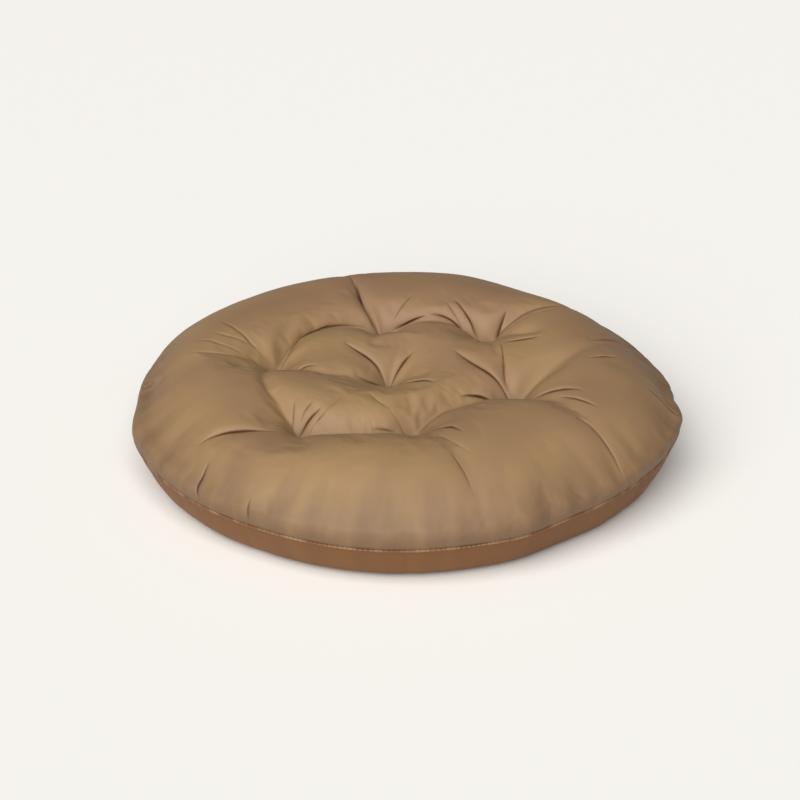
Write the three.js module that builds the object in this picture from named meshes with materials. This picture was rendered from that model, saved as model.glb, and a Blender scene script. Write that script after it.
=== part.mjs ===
// A round tufted seat cushion lying on its back, in millimetres with +Z up.
// The origin is on the floor under the middle of the cushion's outline, and -Y is the front.
// The top panel and its filling are one solid, pulled down at seven tufts.
// The base panel is a thin cloth pan that wraps the underside and rises to the seam.
import * as THREE from "three";

// Driving sizes
const CLOTH = 2;
const PANEL_GAP = 0.45;
const RINGS = 36;
const SIDES = 6;
const TURN = 2 * Math.PI;
const DEGREE = Math.PI / 180;

// Section of the top panel before it is tufted, from the middle out and down to the seam
const TOP_SECTION = [
  { at: "middle", r: 0, z: 100 },
  { at: "inner", r: 60, z: 100 },
  { at: "tuft ring", r: 120, z: 100.5 },
  { at: "crest", r: 168, z: 100 },
  { at: "shoulder", r: 202, z: 92 },
  { at: "slope", r: 229, z: 75 },
  { at: "flank", r: 245, z: 57 },
  { at: "widest", r: 250, z: 42 },
  { at: "tuck", r: 243.5, z: 35.5 },
  { at: "seam", r: 235.5, z: 31.2 },
];

// Section of the base panel's outer face, from the seam down to the floor
const BASE_SECTION = [
  { at: "seam", r: 235, z: 29.7 },
  { at: "band", r: 231, z: 15 },
  { at: "heel", r: 224, z: 4 },
  { at: "floor", r: 212, z: 0 },
];

// The outline by bearing: how far the rim and the seam stand out from the round,
// and how strongly the top panel is gathered into the seam, from 0 to 1
const OUTLINE = [
  { bearing: 0, rim: 0, seam: 5, gather: 0.7 },
  { bearing: 28, rim: -5, seam: 2, gather: 0.6 },
  { bearing: 52, rim: -2, seam: 0, gather: 0.5 },
  { bearing: 80, rim: 3, seam: 0, gather: 0.5 },
  { bearing: 105, rim: 3, seam: 0, gather: 0.7 },
  { bearing: 130, rim: 8, seam: 0, gather: 0.6 },
  { bearing: 152, rim: 11, seam: 3, gather: 0.5 },
  { bearing: 168, rim: 4, seam: 5, gather: 0.6 },
  { bearing: 182, rim: -2, seam: 4, gather: 0.7 },
  { bearing: 205, rim: 0, seam: 8, gather: 0.9 },
  { bearing: 222, rim: 2, seam: 4, gather: 1 },
  { bearing: 240, rim: 2, seam: 0, gather: 0.9 },
  { bearing: 262, rim: 0, seam: 0, gather: 0.3 },
  { bearing: 291, rim: -2, seam: -2, gather: 0.8 },
  { bearing: 307, rim: -5, seam: -7, gather: 1 },
  { bearing: 322, rim: -1, seam: -6, gather: 1 },
  { bearing: 335, rim: 5, seam: 0, gather: 0.9 },
  { bearing: 348, rim: 3, seam: 6, gather: 0.8 },
];

// Places on the top panel laid flat, measured from its middle: the seven tufts, and where folds end
const PLACES = {
  "middle": { x: -17, y: -4 },
  "left": { x: -119, y: 20 },
  "back left": { x: -18, y: 100 },
  "back right": { x: 73, y: 86 },
  "right": { x: 100, y: -31 },
  "front right": { x: 4, y: -96 },
  "front left": { x: -91, y: -104 },
  "rim left": { x: -290, y: -8 },
  "rim back left": { x: -98, y: 270 },
  "rim back right": { x: 205, y: 200 },
  "rim right": { x: 285, y: 75 },
  "rim front right": { x: 205, y: -200 },
  "rim front": { x: 72, y: -270 },
  "shoulder front left": { x: -184, y: -146 },
  "rim front left": { x: -205, y: -205 },
};

// Folds of the top panel: the first six join the outer tufts in a ring, the next six join them
// to the middle one, and the rest run over the shoulder to the rim. bow is how far the fold's
// middle lies to its left, depths are at its start, middle and end, and tip is how round its
// bottom is.
const PULL = 37;
const FOLDS = [
  { from: "left", to: "back left", bow: 2, depths: [PULL, 20, PULL], width: 20, tip: 6 },
  { from: "back left", to: "back right", bow: 4, depths: [PULL, 20, PULL], width: 19, tip: 6 },
  { from: "back right", to: "right", bow: 4, depths: [PULL, 17, PULL], width: 18, tip: 6 },
  { from: "right", to: "front right", bow: 0, depths: [PULL, 20, PULL], width: 20, tip: 8 },
  { from: "front right", to: "front left", bow: -12, depths: [PULL, 23, PULL], width: 21, tip: 9 },
  { from: "front left", to: "left", bow: 0, depths: [PULL, 17, PULL], width: 19, tip: 7 },
  { from: "middle", to: "left", bow: 16, depths: [PULL, 20, PULL], width: 20, tip: 9 },
  { from: "middle", to: "right", bow: -12, depths: [PULL, 20, PULL], width: 20, tip: 9 },
  { from: "middle", to: "back left", bow: -5, depths: [PULL, 9, PULL], width: 17, tip: 9 },
  { from: "middle", to: "back right", bow: 0, depths: [PULL, 12, PULL], width: 17, tip: 7 },
  { from: "middle", to: "front right", bow: 0, depths: [PULL, 11, PULL], width: 17, tip: 8 },
  { from: "middle", to: "front left", bow: 0, depths: [PULL, 12, PULL], width: 17, tip: 8 },
  { from: "left", to: "rim left", bow: 0, depths: [PULL, 7, 4], width: 19, tip: 7 },
  { from: "back left", to: "rim back left", bow: -6, depths: [PULL, 9, 5], width: 17, tip: 6 },
  { from: "back right", to: "rim back right", bow: 10, depths: [PULL, 9, 5], width: 17, tip: 6 },
  { from: "right", to: "rim right", bow: 0, depths: [PULL, 7, 5], width: 18, tip: 6 },
  { from: "right", to: "rim front right", bow: 8, depths: [PULL, 6, 2], width: 18, tip: 7 },
  { from: "front right", to: "rim front", bow: 6, depths: [PULL, 6, 1], width: 18, tip: 7 },
  { from: "front left", to: "shoulder front left", bow: 6, depths: [PULL, 13, 8], width: 16, tip: 6 },
  { from: "shoulder front left", to: "rim front left", bow: 0, depths: [8, 5, 2], width: 15, tip: 6 },
];
const FOLD_FALL = 1.1;
const FOLD_RISE = 2.6;
const FOLD_BLEND = 5;
const FOLD_FADE = 40;

// Gathers where the top panel is eased into the seam
const GATHER = { count: 49, depth: 1.7, reach: 48, start: 6 };
const SEAM_REACH = 34;
const RIM_FROM = 130;
const RIM_TO = 215;

function smoothStep(from, to, value) {
  return THREE.MathUtils.smoothstep(value, from, to);
}

// A smooth line through a section's rows, of r and z
function sectionLine(rows) {
  return new THREE.SplineCurve(rows.map((row) => new THREE.Vector2(row.r, row.z)));
}

// One column of the outline's table at a bearing in radians, eased from row to row
function outlineAt(angle, column) {
  const bearing = THREE.MathUtils.euclideanModulo(angle / DEGREE, 360);
  const next = OUTLINE.findIndex((row) => row.bearing > bearing);
  const last = next < 0 ? OUTLINE[OUTLINE.length - 1] : OUTLINE[next - 1];
  const following = next < 0 ? OUTLINE[0] : OUTLINE[next];
  const end = next < 0 ? 360 : following.bearing;
  const share = (bearing - last.bearing) / (end - last.bearing);
  return THREE.MathUtils.lerp(last[column], following[column], (1 - Math.cos(Math.PI * share)) / 2);
}

// The drop that one fold gives to a point of the flat panel
function foldDrop(fold, x, y) {
  const from = PLACES[fold.from];
  const to = PLACES[fold.to];
  const dx = to.x - from.x;
  const dy = to.y - from.y;
  const length = Math.hypot(dx, dy);
  const along = ((x - from.x) * dx + (y - from.y) * dy) / length;
  const side = ((y - from.y) * dx - (x - from.x) * dy) / length;
  const share = THREE.MathUtils.clamp(along / length, 0, 1);
  const past = along - share * length;
  const off = Math.hypot(side - fold.bow * 4 * share * (1 - share), past);
  const rise = Math.abs(2 * share - 1) ** FOLD_RISE;
  const [starting, middle, ending] = fold.depths;
  const depth = THREE.MathUtils.lerp(middle, share < 0.5 ? starting : ending, rise);
  const soft = Math.hypot(off, fold.tip) - fold.tip;
  return depth * Math.exp(-((soft / fold.width) ** FOLD_FALL));
}

// The larger of two drops, rounded where they are alike
function blendedLarger(a, b) {
  const share = THREE.MathUtils.clamp(0.5 + (b - a) / (2 * FOLD_BLEND), 0, 1);
  return THREE.MathUtils.lerp(a, b, share) + FOLD_BLEND * share * (1 - share);
}

function dropAt(x, y) {
  return FOLDS.reduce((drop, fold) => blendedLarger(drop, foldDrop(fold, x, y)), 0);
}

function gatherAt(angle, aboveSeam) {
  const wave = Math.cos(GATHER.count * angle + 2.2 * Math.sin(3 * angle) + 1.3 * Math.sin(7 * angle));
  const uneven = outlineAt(angle, "gather") * (0.7 + 0.3 * Math.sin(11 * angle));
  const fade = Math.exp(-aboveSeam / GATHER.reach) * Math.min(1, aboveSeam / GATHER.start);
  return GATHER.depth * wave * uneven * fade;
}

// Joins rings of points into triangles: ring i holds SIDES * i points, so cells stay alike in size
function discFaces(rings) {
  const faces = [];
  const first = (ring) => (ring === 0 ? 0 : 1 + (SIDES * ring * (ring - 1)) / 2);
  const at = (ring, step) => (ring === 0 ? 0 : first(ring) + (step % (SIDES * ring)));
  for (let ring = 1; ring <= rings; ring += 1) {
    for (let side = 0; side < SIDES; side += 1) {
      for (let k = 0; k < ring; k += 1) {
        const outer = side * ring + k;
        const inner = side * (ring - 1) + k;
        faces.push(at(ring, outer), at(ring, outer + 1), at(ring - 1, inner));
        if (k < ring - 1) faces.push(at(ring, outer + 1), at(ring - 1, inner + 1), at(ring - 1, inner));
      }
    }
  }
  return faces;
}

// Joins two closed rows of as many points each, the first lying above or outside the second
function bandFaces(upper, lower, count) {
  const faces = [];
  for (let k = 0; k < count; k += 1) {
    const next = (k + 1) % count;
    faces.push(upper + k, lower + k, lower + next, upper + k, lower + next, upper + next);
  }
  return faces;
}

function solid(name, points, faces, material) {
  const geometry = new THREE.BufferGeometry();
  geometry.setAttribute("position", new THREE.Float32BufferAttribute(points, 3));
  geometry.setIndex(faces);
  geometry.computeVertexNormals();
  const mesh = new THREE.Mesh(geometry, material);
  mesh.name = name;
  return mesh;
}

// The points of the top panel, ring by ring from the middle to the seam
function topPoints() {
  const line = sectionLine(TOP_SECTION);
  const length = line.getLength();
  const points = [];
  line.getSpacedPoints(RINGS).forEach((point, ring) => {
    const tangent = line.getTangentAt(ring / RINGS);
    const flat = (length * ring) / RINGS;
    const aboveSeam = length - flat;
    const seamShare = 1 - smoothStep(0, SEAM_REACH, aboveSeam);
    const rimShare = smoothStep(RIM_FROM, RIM_TO, flat) * (1 - seamShare);
    const foldShare = smoothStep(0, FOLD_FADE, aboveSeam);
    const count = Math.max(1, SIDES * ring);
    for (let step = 0; step < count; step += 1) {
      const angle = (TURN * step) / count;
      const drop = dropAt(flat * Math.cos(angle), flat * Math.sin(angle)) * foldShare;
      const out = gatherAt(angle, aboveSeam) - drop;
      const swell = outlineAt(angle, "rim") * rimShare + outlineAt(angle, "seam") * seamShare;
      const r = point.x - out * tangent.y + swell;
      points.push(r * Math.cos(angle), r * Math.sin(angle), point.y + out * tangent.x);
    }
  });
  return points;
}

// One closed row of points on a section, moved inwards by inset and up by lift
function rowAt(line, share, count, inset, lift = 0) {
  const point = line.getPointAt(share);
  const tangent = line.getTangentAt(share);
  const z = point.y - inset * tangent.x + lift;
  return Array.from({ length: count }, (_, k) => {
    const angle = (TURN * k) / count;
    const r = point.x + inset * tangent.y + outlineAt(angle, "seam");
    return [r * Math.cos(angle), r * Math.sin(angle), z];
  }).flat();
}

function filledTop(material) {
  const points = topPoints();
  const faces = discFaces(RINGS);
  const count = SIDES * RINGS;
  const line = sectionLine(BASE_SECTION);
  const inset = CLOTH + PANEL_GAP;
  let above = points.length / 3 - count;
  for (const share of [0, 0.25, 0.6, 1]) {
    points.push(...rowAt(line, share, count, inset, share === 0 ? PANEL_GAP : 0));
    faces.push(...bandFaces(above, above + count, count));
    above += count;
  }
  points.push(0, 0, inset);
  const middle = above + count;
  for (let k = 0; k < count; k += 1) faces.push(middle, above + ((k + 1) % count), above + k);
  return solid("filled_top", points, faces, material);
}

// The rows of the pan run down its outer face, across the lip of cloth at the floor's edge
// and back up its inner face, and a fan of triangles closes each side of its floor
function basePanel(material) {
  const count = (SIDES * RINGS) / 2;
  const line = sectionLine(BASE_SECTION);
  const shares = [0, 0.2, 0.4, 0.6, 0.8, 1];
  const points = [];
  const faces = [];
  for (const share of shares) points.push(...rowAt(line, share, count, 0));
  for (const share of [...shares].reverse()) points.push(...rowAt(line, share, count, CLOTH));
  const outerFloor = (shares.length - 1) * count;
  const innerFloor = outerFloor + count;
  const lip = (2 * shares.length - 1) * count;
  for (let row = 0; row < lip; row += count) {
    if (row !== outerFloor) faces.push(...bandFaces(row, row + count, count));
  }
  faces.push(...bandFaces(lip, 0, count));
  const under = points.length / 3;
  points.push(0, 0, 0, 0, 0, CLOTH);
  for (let k = 0; k < count; k += 1) {
    const next = (k + 1) % count;
    faces.push(under, outerFloor + next, outerFloor + k);
    faces.push(under + 1, innerFloor + k, innerFloor + next);
  }
  return solid("base_panel", points, faces, material);
}

const topCloth = new THREE.MeshStandardMaterial({ color: 0x9c7c5c, roughness: 0.55, metalness: 0 });
const baseCloth = new THREE.MeshStandardMaterial({ color: 0x7f5b3d, roughness: 0.6, metalness: 0 });

const cushion = new THREE.Group();
cushion.add(filledTop(topCloth), basePanel(baseCloth));

export default cushion;
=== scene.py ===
"""A round tufted seat cushion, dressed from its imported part: covers, sewing and threads."""

import math

import bpy
import numpy as np
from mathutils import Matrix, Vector


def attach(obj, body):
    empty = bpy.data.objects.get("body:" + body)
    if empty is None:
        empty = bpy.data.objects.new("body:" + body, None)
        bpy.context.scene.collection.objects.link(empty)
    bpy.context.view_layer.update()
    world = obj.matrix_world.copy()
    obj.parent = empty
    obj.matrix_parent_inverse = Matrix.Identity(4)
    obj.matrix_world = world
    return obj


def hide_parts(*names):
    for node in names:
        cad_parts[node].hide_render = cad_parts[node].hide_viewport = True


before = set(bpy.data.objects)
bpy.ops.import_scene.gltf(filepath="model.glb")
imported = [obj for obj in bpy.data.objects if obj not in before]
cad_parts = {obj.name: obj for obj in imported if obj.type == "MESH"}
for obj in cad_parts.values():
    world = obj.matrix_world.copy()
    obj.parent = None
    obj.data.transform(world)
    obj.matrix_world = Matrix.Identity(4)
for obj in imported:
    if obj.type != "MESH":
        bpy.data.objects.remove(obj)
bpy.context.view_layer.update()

bl_info = {
    "name": "Round tufted cushion",
    "version": (1, 0, 0),
    "blender": (4, 5, 0),
    "location": "3D View > Sidebar > Cushion",
    "description": "Makes a round tufted seat cushion: its covers, folds, seam and tufting threads",
    "category": "Add Mesh",
}

# Tables are in millimetres, as the pattern is drawn, and meshes are in metres
MM = 0.001
TURN = 2 * math.pi
SMALL_TURN = 0.001

# Section of the top panel before it is tufted, from the middle out and down to the seam
TOP_SECTION = [
    ("middle", 0, 92),
    ("inner", 60, 93.5),
    ("tuft ring", 120, 99),
    ("crest", 160, 99.5),
    ("shoulder", 199, 91.5),
    ("slope", 228, 74.5),
    ("flank", 243.5, 59),
    ("widest", 247, 49),
    ("tuck", 246.3, 41.5),
    ("seam", 244.6, 36),
]

# Section of the base panel's outer face, from the seam down to the floor
BASE_SECTION = [
    ("seam", 244.3, 35.2),
    ("band", 236.3, 18),
    ("heel", 225, 4),
    ("floor", 212, 0),
]

# The outline by bearing in degrees: how far the rim and the seam stand out from the round,
# how far the seam lies above its section, and how strongly the top panel is gathered into it
OUTLINE_COLUMNS = ("bearing", "rim", "seam", "lift", "gather")
OUTLINE = [
    (0, -10, -2, 12, 0.3),
    (20, -15, -4, 10, 0.2),
    (36, -10, -1, 8, 0.2),
    (52, -11, -1, 6, 0.3),
    (80, 6, 0, 4, 0.5),
    (105, 4, 0, 4, 0.7),
    (130, 7, 0, 4, 0.6),
    (152, 10, 3, 5, 0.3),
    (168, 0, 2, 7, 0.2),
    (182, -7, 2, 8, 0.3),
    (196, -3, 7, 8, 0.6),
    (205, -3, 6, 8, 1.0),
    (222, 0, 3, 5.5, 1.0),
    (240, 1, 0, 4, 0.9),
    (262, -1, 0, 2.5, 0.6),
    (291, -4, -3, 3, 0.9),
    (307, -7, -7, 5.5, 1.0),
    (322, -1, -3, 8.5, 1.0),
    (335, 2, 1, 11, 0.7),
    (348, 1, 4, 13, 0.4),
]

# Places on the top panel laid flat: the seven tufts, and where folds end
TUFTS = {
    "middle": (-17, -4),
    "left": (-119, 20),
    "back left": (-23, 94),
    "back right": (72, 79),
    "right": (94, -38),
    "front right": (4, -96),
    "front left": (-91, -104),
}
PLACES = {
    **TUFTS,
    "rim left": (-290, -8),
    "rim back left": (-74, 262),
    "rim back right": (235, 175),
    "rim right": (285, 90),
    "rim front right": (205, -200),
    "rim front": (72, -270),
    "shoulder front left": (-184, -139),
    "rim front left": (-205, -205),
    "beside middle": (26, -16),
    "beside left": (-162, -16),
    "beside back right": (124, 46),
    "behind right": (40, 18),
    "behind front left": (-53, -65),
    "behind front right": (-36, -58),
    "behind middle left": (-58, 34),
    "behind middle right": (5, 25),
}

# How far the outer tufts and the middle one pull the top panel down
PULL = 36
MIDDLE_PULL = 29

# Folds of the top panel: the first six join the outer tufts in a ring, the next ones fan out
# from the tufts, and the rest run over the shoulder to the rim. A row says from where and to
# where a fold runs, how far its middle lies to its left, its drops at the start, middle and
# end, how far it reaches to each side, how round its bottom is, and how deep it is creased.
FOLDS = [
    ("left", "back left", 23, (PULL, 18, PULL), 18, 3, 0),
    ("back left", "back right", 13, (PULL, 18, PULL), 17, 3, 0),
    ("back right", "right", -4, (PULL, 6, PULL), 14, 4, 0),
    ("right", "front right", -10, (PULL, 22, PULL), 23, 4, 0),
    ("front right", "front left", 5, (PULL, 28, PULL), 26, 4, 0),
    ("front left", "left", 20, (PULL, 12, PULL), 18, 4, 0),
    ("middle", "left", 27, (MIDDLE_PULL, 10, PULL), 20, 5, 0),
    ("middle", "beside middle", 0, (MIDDLE_PULL, 12, 0), 15, 4, 0),
    ("left", "beside left", 0, (PULL, 16, 2), 16, 4, 0),
    ("back right", "beside back right", 0, (PULL, 11, 1), 14, 4, 0),
    ("right", "behind right", 1, (PULL, 9, 1), 9, 3, 4.5),
    ("middle", "behind middle left", -1, (MIDDLE_PULL, 6, 1), 9, 3, 4),
    ("middle", "behind middle right", 0, (MIDDLE_PULL, 6, 1), 9, 3, 4),
    ("front right", "behind front right", 3, (PULL, 8, 1), 10, 3, 0.5),
    ("front left", "behind front left", -5, (PULL, 8, 1), 10, 3, 0.5),
    ("left", "rim left", 0, (PULL, 2, 1), 17, 6, 0),
    ("back left", "rim back left", 10, (PULL, 4, 2), 9, 3, 0),
    ("back right", "rim back right", 4, (PULL, 6, 4), 12, 4, 2),
    ("right", "rim right", 10, (PULL, 8, 1), 17, 5, 0),
    ("right", "rim front right", 8, (PULL, 7, 2), 17, 6, 0),
    ("front right", "rim front", 6, (PULL, 7, 1), 17, 6, 0),
    ("front left", "shoulder front left", 6, (PULL, 10, 4), 14, 4, 0),
    ("shoulder front left", "rim front left", 0, (4, 4, 2), 15, 5, 0),
]

# How folds fall off to their sides and rise to their ends, how softly they meet, the length
# above the seam over which they begin, and how much wider they are behind
FOLD_FALL = 0.95
FOLD_RISE = 2.6
FOLD_BLEND = 5
FOLD_FADE = 40
FOLD_LEAN = -0.3

# Gathers where the top panel is eased into the seam: the share of each run of them and its
# rhythm, which is its number of waves and sways of their phase as (strength, times round)
GATHERS = [(0.7, 49, (2.8, 3), (1.9, 7)), (0.5, 29.4, (2.5, 5))]
GATHER_DEPTH = 1.7
GATHER_CHANGE = (0.35, 11)
GATHER_REACH = 26
GATHER_START = 9
SEAM_REACH = 34
RIM_FROM = 130
RIM_TO = 215

# Creases that the tufting pulls into the cloth: flat places of the start and the end, how far
# the middle bows to the left, the depth, and how far it reaches to each side
CREASES = [
    ((-114, 29), (-36, 99), 17, 5.0, 1.5),
    ((-31, 98), (-50, 163), 3, 5.0, 1.5),
    ((-46, 142), (-60, 198), 1, 1.6, 1.3),
    ((-110, -123), (-186, -138), -2, 5.0, 1.8),
    ((-14, 100), (18, 106), 0, 3.5, 1.3),
    ((21, 107), (56, 86), 4, 3.5, 1.2),
    ((67, 83), (44, 124), 1, 4.0, 1.2),
    ((54, 89), (34, 124), 1, 1.2, 1.0),
    ((79, 79), (94, 105), 0, 4.0, 1.2),
    ((86, 32), (122, 36), 0, 4.5, 1.9),
    ((92, 76), (150, 117), 0, 4.0, 1.3),
    ((85, 32), (86, -26), 0, 2.2, 1.2),
    ((46, -48), (76, -42), 2, 3.5, 1.6),
    ((108, -50), (154, -67), 1, 4.5, 1.8),
    ((131, -70), (165, -93), 0, 3.0, 1.2),
    ((14, -106), (47, -143), 4, 4.0, 1.6),
    ((22, -126), (56, -179), -4, 1.2, 1.4),
    ((36, -175), (58, -229), 1, 1.0, 1.4),
    ((-30, -98), (-8, -95), 0, 1.5, 1.2),
    ((-8, -22), (25, -39), 4, 4.0, 1.6),
    ((-46, -14), (-20, -3), -3, 2.5, 1.2),
    ((-95, -102), (-73, -85), 0, 3.5, 1.5),
    ((-99, -100), (-97, -76), 0, 1.4, 1.2),
    ((-92, -94), (-79, -78), 1, 1.4, 1.2),
    ((-134, -25), (-161, -24), -3, 6.0, 1.8),
    ((-103, -8), (-79, -8), 2, 2.5, 1.1),
    ((-131, 28), (-172, 80), 5, 1.8, 1.2),
    ((-140, 35), (-182, 51), 2, 1.6, 1.2),
    ((-148, 20), (-198, 44), 2, 1.5, 1.2),
    ((-148, 14), (-206, 17), 3, 1.5, 1.4),
    ((-117, 30), (-106, 56), 0, 1.2, 1.2),
    ((-13, 104), (8, 134), 0, 1.4, 1.3),
    ((178, 40), (237, 102), -4, 6.0, 1.8),
    ((166, -4), (206, 13), 0, 3.0, 1.4),
    ((214, -31), (256, -52), 4, 3.5, 1.5),
    ((146, -109), (198, -172), 3, 1.8, 1.3),
    ((-171, -160), (-195, -197), -2, 3.5, 1.6),
    ((-135, -210), (-146, -233), 0, 2.2, 1.5),
    ((-244, 8), (-262, 12), 1, 1.5, 1.5),
]
SLIT_WIDTH = 1.5

# A crease's form: the share of its depth cut into the mesh, its round bottom, how it falls off
# and tapers, its share of width at its ends, and its lips, placed in its own widths
CREASE_CUT = 0.28
CREASE_TIP = 0.35
CREASE_FALL = 1.3
CREASE_SPREAD = 1.1
CREASE_TAPER = 2.2
CREASE_END = 0.4
CREASE_LIP = 0.15
LIP_PLACE = 3
LIP_WIDTH = 1.6
CREASE_FADE = 8

# Crease lines for the material, painted dark as shade and cut in as relief, in sets whose
# lines lie apart along their strong part
LINE_SETS = ("First creases", "Second creases", "Third creases")
LINES_APART = 11
STRONG_PART = (0.15, 0.85)
STRONG_PLACES = 15
LINE_REACH = 4.0
LINE_FALL = 4
FULL_DARK = 3.2

# How the mesh is drawn closer together beside a crease
DRAW_REACH = 7.0
DRAW_FALL = 1.6
DRAW_TAPER = 6

# Cloth pressure on the top panel, how much longer the loose cloth is cut than its form, how far
# from a tuft it is loose, and its share of slack elsewhere
PRESSURE = 3.5
PRESS_FRAMES = 20
SLACK = 0.028
SLACK_REACH = 60
SLACK_REST = 0.3
WEIGHT_STEPS = 20

# What holds the cloth: tufts and seam, by distances from held to free, and folds, by their drop.
# Then the furthest move, and the rounds that even out moves and normals.
TUFT_HELD = (4, 10)
SEAM_HELD = (4, 12)
FOLD_HELD = 0.3
FOLD_HELD_DROPS = (12, 26)
MOVE_LIMIT = 9.0
MOVE_ROUNDS = 3
NORMAL_ROUNDS = 4

# Mesh sizes: the top panel's rings, how many times fewer the cloth pressure works on, their
# spacing and its growth, and the meshes under the filling and of the base
TOP_RINGS = 174
PUFF_SHARE = 2
MIDDLE_SPACING = 0.86
SPACING_RISE = 4
UNDER_SHARE = 6
UNDER_SHARES = (0.3, 0.65, 1.0)
UNDER_EDGE = 0.985
BASE_RINGS = 120
EDGE_RINGS = 14
EDGE_REACH = 9
CLOTH = 1.6
PANEL_GAP = 0.45

# The base panel: its flat radius under the cushion, pleats by bearing with their depth and half
# width in degrees, which begin over a length below the seam and end over a share of the section,
# and the dimples that the tufting threads pull in it
FLOOR_RADIUS = 212
PLEATS = [
    (202, 0.6, 1.5),
    (236, 0.9, 1.0),
    (270, 0.8, 0.8),
    (321, 0.8, 1.2),
    (327, 1.0, 1.0),
    (352, 0.5, 1.4),
    (48, 0.65, 1.2),
    (97, 0.8, 1.0),
    (150, 0.7, 1.3),
]
PLEAT_FALL = 1.5
PLEAT_BEGINS = (1.0, 6.0)
PLEAT_ENDS = (0.5, 0.95)
BAND_WAVE = 0.2
BAND_RHYTHM = (53, (2, 5))
DIMPLE = 3.4
DIMPLE_WIDTH = 15
DIMPLE_FALL = 1.3

# The seam: its rolled edge, and the thread's stitches, which sink by a rhythm
STITCHES = 360
BEAD = 0.9
BEAD_BELOW = 1.3
BEAD_WIDTH = 1.3
BEAD_SCALLOP = 0.3
THREAD = 0.34
STITCH_LENGTH = 2.9
STITCH_BELOW = 0.3
STITCH_OUT = 0.35
STITCH_SINK = 0.3
SINK_RHYTHM = (9, (2.5, 4))
STITCH_RISE = 0.9

# The tacks that hold the tufts, each turned on from the one before by an angle in radians
TACK_LENGTH = 4.5
TACK_THREAD = 0.5
TACK_OUT = 0.4
TACK_TURN = 1.9

# The mesh of a short piece of thread, and how late it thins and bends in
THREAD_SIDES = 6
THREAD_RINGS = 5
THREAD_TAPER = 4
THREAD_BEND = 3

# The photograph's view: the camera's place and the point it looks at, in metres
CAMERA_PLACE = (0.0, -1.690, 0.9176)
CAMERA_AIM = (-0.0069, 0.0215, 0.0396)
CAMERA_LENS = 93.4
FLOOR_GAP = 0.0002
STUDIO_TINT = (1.0, 0.99, 0.975, 1.0)


def even_step(start, end, value):
    """0 up to the start, 1 from the end on, and even between them."""
    return np.clip((value - start) / (end - start), 0, 1)


def smooth_step(start, end, value):
    share = even_step(start, end, value)
    return share * share * (3 - 2 * share)


def mix(a, b, share):
    return a + (b - a) * share


def polar(angle, r, *rest):
    """Rows of x, y and the rest at these bearings and distances from the middle."""
    return np.stack([r * np.cos(angle), r * np.sin(angle), *rest], 1)


def unit(vectors):
    return vectors / np.linalg.norm(vectors, axis=1)[:, None]


def rhythm(angle, waves, *sways):
    """The phase of an uneven run of waves round the cushion."""
    phase = waves * angle
    for strength, times_round in sways:
        phase = phase + strength * np.sin(times_round * angle)
    return phase


# Flat pattern to round form


class SectionLine:
    """A smooth line through a section's rows of (name, r, z), read by the length along it."""

    SAMPLES = 1600

    def __init__(self, rows):
        corners = np.array([row[1:] for row in rows], float)
        padded = np.vstack([corners[:1], corners, corners[-1:]])
        t = np.linspace(0, len(corners) - 1, self.SAMPLES)
        i = np.minimum(t.astype(int), len(corners) - 2)
        w = (t - i)[:, None]
        before, start, end, after = (padded[i + k] for k in range(4))
        leave, arrive = (end - before) / 2, (after - start) / 2
        self.points = (
            (2 * start - 2 * end + leave + arrive) * w**3
            + (3 * end - 3 * start - 2 * leave - arrive) * w**2
            + leave * w
            + start
        )
        steps = np.hypot(*np.diff(self.points, axis=0).T)
        self.along = np.concatenate([[0], np.cumsum(steps)])
        self.length = self.along[-1]
        self.tangents = np.gradient(self.points, self.along, axis=0)

    def at(self, along):
        """(r, z, the tangent's r, the tangent's z) at lengths along the line."""
        columns = [*self.points.T, *self.tangents.T]
        r, z, tr, tz = (np.interp(along, self.along, column) for column in columns)
        long = np.hypot(tr, tz)
        return r, z, tr / long, tz / long


def outline_at(angle, column):
    """One column of the outline's table at bearings in radians, eased from row to row."""
    index = OUTLINE_COLUMNS.index(column)
    bearings = np.array([row[0] for row in OUTLINE] + [360.0])
    values = np.array([row[index] for row in OUTLINE] + [OUTLINE[0][index]], float)
    bearing = np.degrees(angle) % 360
    row = np.clip(np.searchsorted(bearings, bearing, "right") - 1, 0, len(OUTLINE) - 1)
    share = (bearing - bearings[row]) / (bearings[row + 1] - bearings[row])
    return mix(values[row], values[row + 1], (1 - np.cos(np.pi * share)) / 2)


def bowed(bow, share):
    """How far a bowed line lies to the left of the straight one at a share of its length."""
    return bow * 4 * share * (1 - share)


def beside_line(start, end, bow, x, y):
    """Places read along a bowed line: (share of its length, distance to its left, distance past
    its ends, how much the way from the line points backwards)."""
    (x0, y0), (x1, y1) = start, end
    dx, dy = x1 - x0, y1 - y0
    length = math.hypot(dx, dy)
    along = ((x - x0) * dx + (y - y0) * dy) / length
    side = ((y - y0) * dx - (x - x0) * dy) / length
    share = np.clip(along / length, 0, 1)
    side = side - bowed(bow, share)
    past = along - share * length
    off = np.hypot(side, past)
    backward = (side * dx + past * dy) / length / np.maximum(off, 1e-6)
    return share, side, past, backward


def fold_drop(fold, x, y):
    """How far one fold lowers points of the flat panel."""
    start, end, bow, (first, middle, last), width, tip, _ = fold
    share, side, past, backward = beside_line(PLACES[start], PLACES[end], bow, x, y)
    off = np.hypot(side, past)
    rise = np.abs(2 * share - 1) ** FOLD_RISE
    depth = mix(middle, np.where(share < 0.5, first, last), rise)
    soft = np.hypot(off, tip) - tip
    return depth * np.exp(-((soft / (width * (1 + FOLD_LEAN * backward))) ** FOLD_FALL))


def blended_larger(a, b):
    """The larger of two drops, rounded where they are alike."""
    share = np.clip(0.5 + (b - a) / (2 * FOLD_BLEND), 0, 1)
    return mix(a, b, share) + FOLD_BLEND * share * (1 - share)


def folds_drop(x, y):
    drop = np.zeros_like(x)
    for fold in FOLDS:
        drop = blended_larger(drop, fold_drop(fold, x, y))
    return drop


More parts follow.
